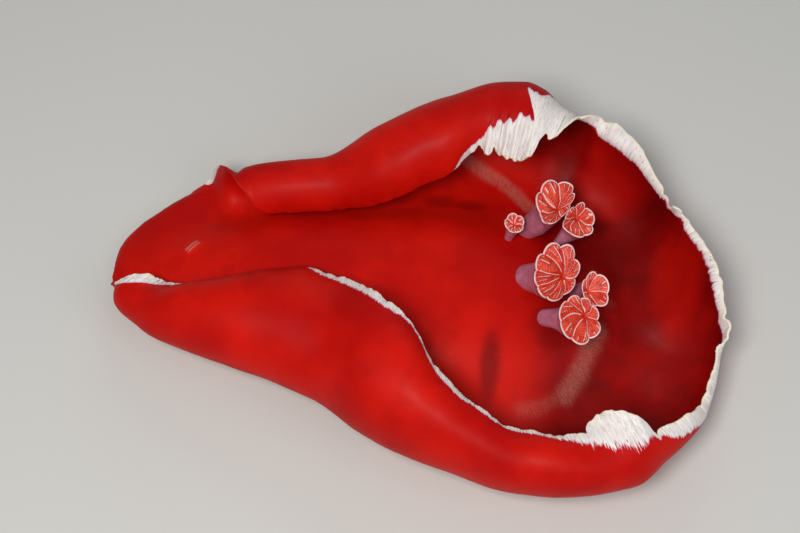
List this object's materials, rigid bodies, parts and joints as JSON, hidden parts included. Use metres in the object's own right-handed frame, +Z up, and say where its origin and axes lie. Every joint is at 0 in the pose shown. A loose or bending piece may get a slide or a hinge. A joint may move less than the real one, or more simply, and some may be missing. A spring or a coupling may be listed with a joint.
{
  "type": "spanish dancer nudibranch",
  "caption": "Still, life-size red sea slug on its foot: wide skirt-like mantle rolled up over the back, open like a bowl behind, white rim and a ring of gills.",
  "frame": {"origin": "on the foot's flat sole, under the body's midline at the middle of the back's length", "axes": "+Z up; +X along the body towards the tail, so the head is towards -X; +Y towards the animal's right side"},
  "size_m": [0.2849, 0.2029, 0.0682],
  "materials": {
    "red_skin": "satin, moist",
    "white_margin": "satin, moist",
    "gill": "glossy, moist"
  },
  "bodies": {
    "root": {"anal_papilla": "red_skin", "body_front": "red_skin", "body_middle": "red_skin", "body_rear": "red_skin", "foot": "red_skin", "gill_front": "gill", "gill_left_front": "gill", "gill_left_rear": "gill", "gill_rear": "gill", "gill_right_front": "gill", "gill_right_rear": "gill", "head": "red_skin", "mantle_head_left": "red_skin", "mantle_head_right": "red_skin", "mantle_left_front": "red_skin", "mantle_left_middle": "red_skin", "mantle_left_rear": "red_skin", "mantle_right_front": "red_skin", "mantle_right_middle": "red_skin", "mantle_right_rear": "red_skin", "mantle_tail": "red_skin", "margin_head_left": "white_margin", "margin_head_right": "white_margin", "margin_left_front": "white_margin", "margin_left_middle": "white_margin", "margin_left_rear": "white_margin", "margin_right_front": "white_margin", "margin_right_middle": "white_margin", "margin_right_rear": "white_margin", "margin_tail": "white_margin", "oral_tentacle_left": "red_skin", "oral_tentacle_right": "red_skin", "rhinophore_sheath_left": "red_skin", "rhinophore_sheath_right": "red_skin"}
  },
  "joints": []
}
